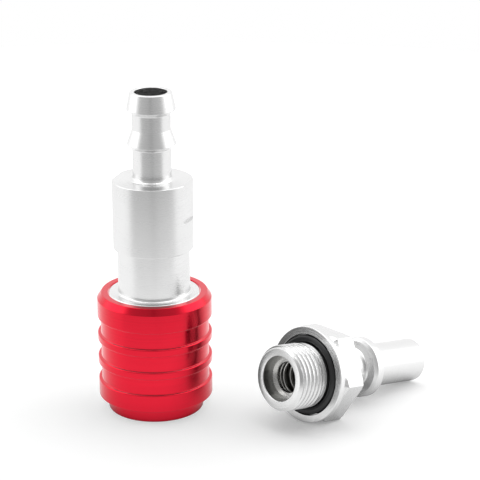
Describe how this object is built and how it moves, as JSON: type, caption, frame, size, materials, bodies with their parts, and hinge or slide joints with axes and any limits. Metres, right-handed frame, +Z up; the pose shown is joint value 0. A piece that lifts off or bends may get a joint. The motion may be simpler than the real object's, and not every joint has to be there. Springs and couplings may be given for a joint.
{
  "type": "liquid cooling quick coupling",
  "caption": "Flat-faced quick coupling, uncoupled: a ball-lock socket with a grooved pull-back sleeve and a hose barb, and a plug with a port thread, a hexagon and a long nose.",
  "frame": {"origin": "on the socket's axis at its mouth, on the surface that both halves rest on", "axes": "+Z up along the socket's axis, from the mouth to the hose tail; the plug lies to the +X side"},
  "size_m": [0.0852, 0.0425, 0.0837],
  "materials": {
    "stainless_steel": "fine-turned and polished stainless steel",
    "red_anodised_aluminium": "bright red anodised",
    "spring_wire": "drawn stainless spring wire",
    "ball_steel": "polished hardened stainless steel",
    "black_rubber": "matt black EPDM rubber"
  },
  "bodies": {
    "housing": {"barb_adapter": "stainless_steel", "adapter_seal": "black_rubber", "socket_body": "stainless_steel", "sleeve_spring": "spring_wire", "sleeve_stop_ring": "spring_wire", "locking_balls": "ball_steel", "nose_seal": "black_rubber", "valve_spring": "spring_wire", "valve_stem": "stainless_steel", "stem_seal": "black_rubber", "stem_spider": "stainless_steel", "stem_nut": "stainless_steel", "plug_body": "stainless_steel", "port_seal": "black_rubber", "poppet_spring": "spring_wire", "spring_washer": "stainless_steel", "washer_circlip": "stainless_steel"},
    "sleeve": {"locking_sleeve": "red_anodised_aluminium"},
    "valve_sleeve": {"valve_sleeve": "stainless_steel"},
    "poppet": {"poppet": "stainless_steel", "poppet_seal": "black_rubber"}
  },
  "joints": [
    {"name": "sleeve_slide", "type": "slide", "parent": "housing", "child": "sleeve", "axis": [0, 0, 1], "range_m": [0, 0.0052], "stiffness_N_per_m": 1200, "springref_m": -0.006, "deforming": ["sleeve_spring"]},
    {"name": "valve_slide", "type": "slide", "parent": "housing", "child": "valve_sleeve", "axis": [0, 0, 1], "range_m": [0, 0.006], "stiffness_N_per_m": 800, "springref_m": -0.006, "deforming": ["valve_spring"]},
    {"name": "poppet_slide", "type": "slide", "parent": "housing", "child": "poppet", "axis": [-0.7226, -0.6691, 0.1737], "range_m": [0, 0.006], "stiffness_N_per_m": 600, "springref_m": -0.006, "deforming": ["poppet_spring"]}
  ]
}
